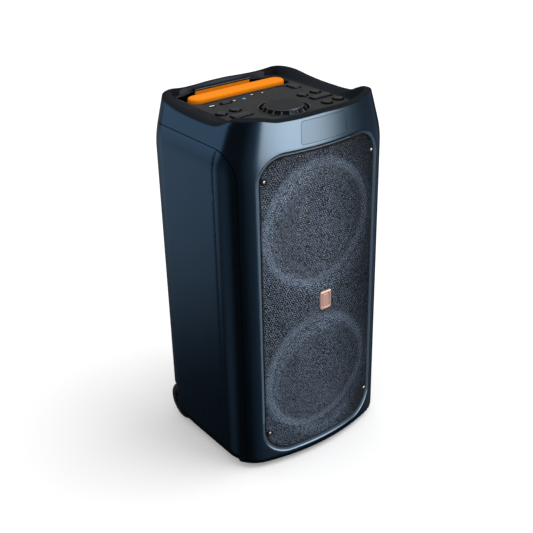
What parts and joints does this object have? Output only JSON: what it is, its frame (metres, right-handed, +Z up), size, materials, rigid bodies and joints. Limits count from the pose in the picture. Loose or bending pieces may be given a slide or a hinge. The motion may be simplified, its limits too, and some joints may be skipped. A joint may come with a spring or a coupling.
{
  "type": "party speaker",
  "caption": "Upright wheeled party speaker: navy shell, perforated bowed grille with lit drivers, control deck with volume knob, pull-up trolley handle and rear sockets.",
  "frame": {"origin": "on the floor at the middle of the footprint", "axes": "+Z up, the grille faces -Y, the sockets and wheels are at +Y, +X is to the right seen from the front"},
  "size_m": [0.354, 0.332, 0.6966],
  "materials": {
    "shell": "satin metallic navy paint on moulded plastic",
    "nameplate": "gloss",
    "deck": "fine matte texture",
    "black_plastic": "semi-gloss",
    "button": "matte",
    "blue_light": "lit",
    "white_light": "lit",
    "liner": "matte",
    "steel": "brushed",
    "grille": "satin perforated steel",
    "badge": "polished rose tint",
    "diffuser": "milky",
    "basket": "cast",
    "magnet": "dull",
    "rubber": "matte",
    "cone": "matte",
    "coil": "wound wire",
    "orange": "satin orange",
    "tyre": "matte",
    "hub": "matte",
    "battery": "matte"
  },
  "bodies": {
    "cabinet_body": {"front_shell": "shell", "side_trims": "shell", "side_panel_left": "shell", "side_panel_right": "shell", "rear_panel": "shell", "nameplate": "nameplate", "top_deck": "deck", "handle_well": "deck", "io_panel": "deck", "knob_ring": "black_plastic", "bass_port": "black_plastic", "control_board": "black_plastic", "amplifier_board": "black_plastic", "power_inlet": "black_plastic", "indicator_blue": "blue_light", "indicator_lights": "white_light", "cabinet": "liner", "baffle": "liner", "base_panel": "liner", "wheel_housings": "liner", "encoder": "steel", "grille_screws": "steel", "handle_outer_tubes": "steel", "wheel_axles": "steel", "audio_jacks": "steel", "grille": "grille", "badge": "badge", "light_rings": "diffuser", "woofer_baskets": "basket", "woofer_magnets": "magnet", "upper_surround": "rubber", "lower_surround": "rubber", "feet": "rubber", "battery_pack": "battery"},
    "volume_knob": {"volume_knob": "black_plastic"},
    "power_button": {"power_button": "button"},
    "source_button": {"source_button": "button"},
    "bass_button": {"bass_button": "button"},
    "next_button": {"next_button": "button"},
    "mic_button": {"mic_button": "button"},
    "guitar_button": {"guitar_button": "button"},
    "light_button": {"light_button": "button"},
    "play_button": {"play_button": "button"},
    "effect_button": {"effect_button": "button"},
    "pairing_button": {"pairing_button": "button"},
    "handle_grip": {"handle_grip": "orange", "handle_inner_tubes": "steel"},
    "handle_middle": {"handle_middle_tubes": "steel"},
    "handle_release": {"handle_release": "orange"},
    "left_wheel": {"left_tyre": "tyre", "left_hub": "hub"},
    "right_wheel": {"right_tyre": "tyre", "right_hub": "hub"},
    "upper_driver": {"upper_cone": "cone", "upper_dust_cap": "cone", "upper_voice_coil": "coil"},
    "lower_driver": {"lower_cone": "cone", "lower_dust_cap": "cone", "lower_voice_coil": "coil"},
    "power_switch": {"power_switch": "black_plastic"}
  },
  "joints": [
    {"name": "volume_turn", "type": "hinge", "parent": "cabinet_body", "child": "volume_knob", "pos_m": [0, -0.049, 0.67], "axis": [0, 0, 1], "continuous": true},
    {"name": "power_press", "type": "slide", "parent": "cabinet_body", "child": "power_button", "axis": [0, 0, -1], "range_m": [0, 0.001], "stiffness_N_per_m": 400, "springref_m": -0.0005},
    {"name": "source_press", "type": "slide", "parent": "cabinet_body", "child": "source_button", "axis": [0, 0, -1], "range_m": [0, 0.001], "stiffness_N_per_m": 400, "springref_m": -0.0005},
    {"name": "bass_press", "type": "slide", "parent": "cabinet_body", "child": "bass_button", "axis": [0, 0, -1], "range_m": [0, 0.001], "stiffness_N_per_m": 400, "springref_m": -0.0005},
    {"name": "next_press", "type": "slide", "parent": "cabinet_body", "child": "next_button", "axis": [0, 0, -1], "range_m": [0, 0.001], "stiffness_N_per_m": 400, "springref_m": -0.0005},
    {"name": "mic_press", "type": "slide", "parent": "cabinet_body", "child": "mic_button", "axis": [0, 0, -1], "range_m": [0, 0.001], "stiffness_N_per_m": 400, "springref_m": -0.0005},
    {"name": "guitar_press", "type": "slide", "parent": "cabinet_body", "child": "guitar_button", "axis": [0, 0, -1], "range_m": [0, 0.001], "stiffness_N_per_m": 400, "springref_m": -0.0005},
    {"name": "light_press", "type": "slide", "parent": "cabinet_body", "child": "light_button", "axis": [0, 0, -1], "range_m": [0, 0.001], "stiffness_N_per_m": 400, "springref_m": -0.0005},
    {"name": "play_press", "type": "slide", "parent": "cabinet_body", "child": "play_button", "axis": [0, 0, -1], "range_m": [0, 0.001], "stiffness_N_per_m": 400, "springref_m": -0.0005},
    {"name": "effect_press", "type": "slide", "parent": "cabinet_body", "child": "effect_button", "axis": [0, 0, -1], "range_m": [0, 0.001], "stiffness_N_per_m": 400, "springref_m": -0.0005},
    {"name": "pairing_press", "type": "slide", "parent": "cabinet_body", "child": "pairing_button", "axis": [0, 0, -1], "range_m": [0, 0.001], "stiffness_N_per_m": 400, "springref_m": -0.0005},
    {"name": "handle_slide", "type": "slide", "parent": "cabinet_body", "child": "handle_grip", "axis": [0, 0, 1], "range_m": [0, 0.38]},
    {"name": "middle_slide", "type": "slide", "parent": "cabinet_body", "child": "handle_middle", "axis": [0, 0, 1], "range_m": [0, 0.19]},
    {"name": "release_push", "type": "slide", "parent": "cabinet_body", "child": "handle_release", "axis": [0, 1, 0], "range_m": [0, 0.003], "stiffness_N_per_m": 600, "springref_m": -0.001},
    {"name": "left_wheel_turn", "type": "hinge", "parent": "cabinet_body", "child": "left_wheel", "pos_m": [-0.1545, 0.094, 0.039], "axis": [1, 0, 0], "continuous": true},
    {"name": "right_wheel_turn", "type": "hinge", "parent": "cabinet_body", "child": "right_wheel", "pos_m": [0.1545, 0.094, 0.039], "axis": [1, 0, 0], "continuous": true},
    {"name": "upper_driver_stroke", "type": "slide", "parent": "cabinet_body", "child": "upper_driver", "axis": [0, 1, 0], "range_m": [-0.004, 0.004], "stiffness_N_per_m": 2500},
    {"name": "lower_driver_stroke", "type": "slide", "parent": "cabinet_body", "child": "lower_driver", "axis": [0, 1, 0], "range_m": [-0.004, 0.004], "stiffness_N_per_m": 2500},
    {"name": "switch_tip", "type": "hinge", "parent": "cabinet_body", "child": "power_switch", "pos_m": [0.01, 0.146, 0.132], "axis": [1, 0, 0], "range_deg": [0, 12]}
  ],
  "couplings": [
    {"joint": "middle_slide", "follows": "handle_slide", "ratio": 0.5}
  ]
}
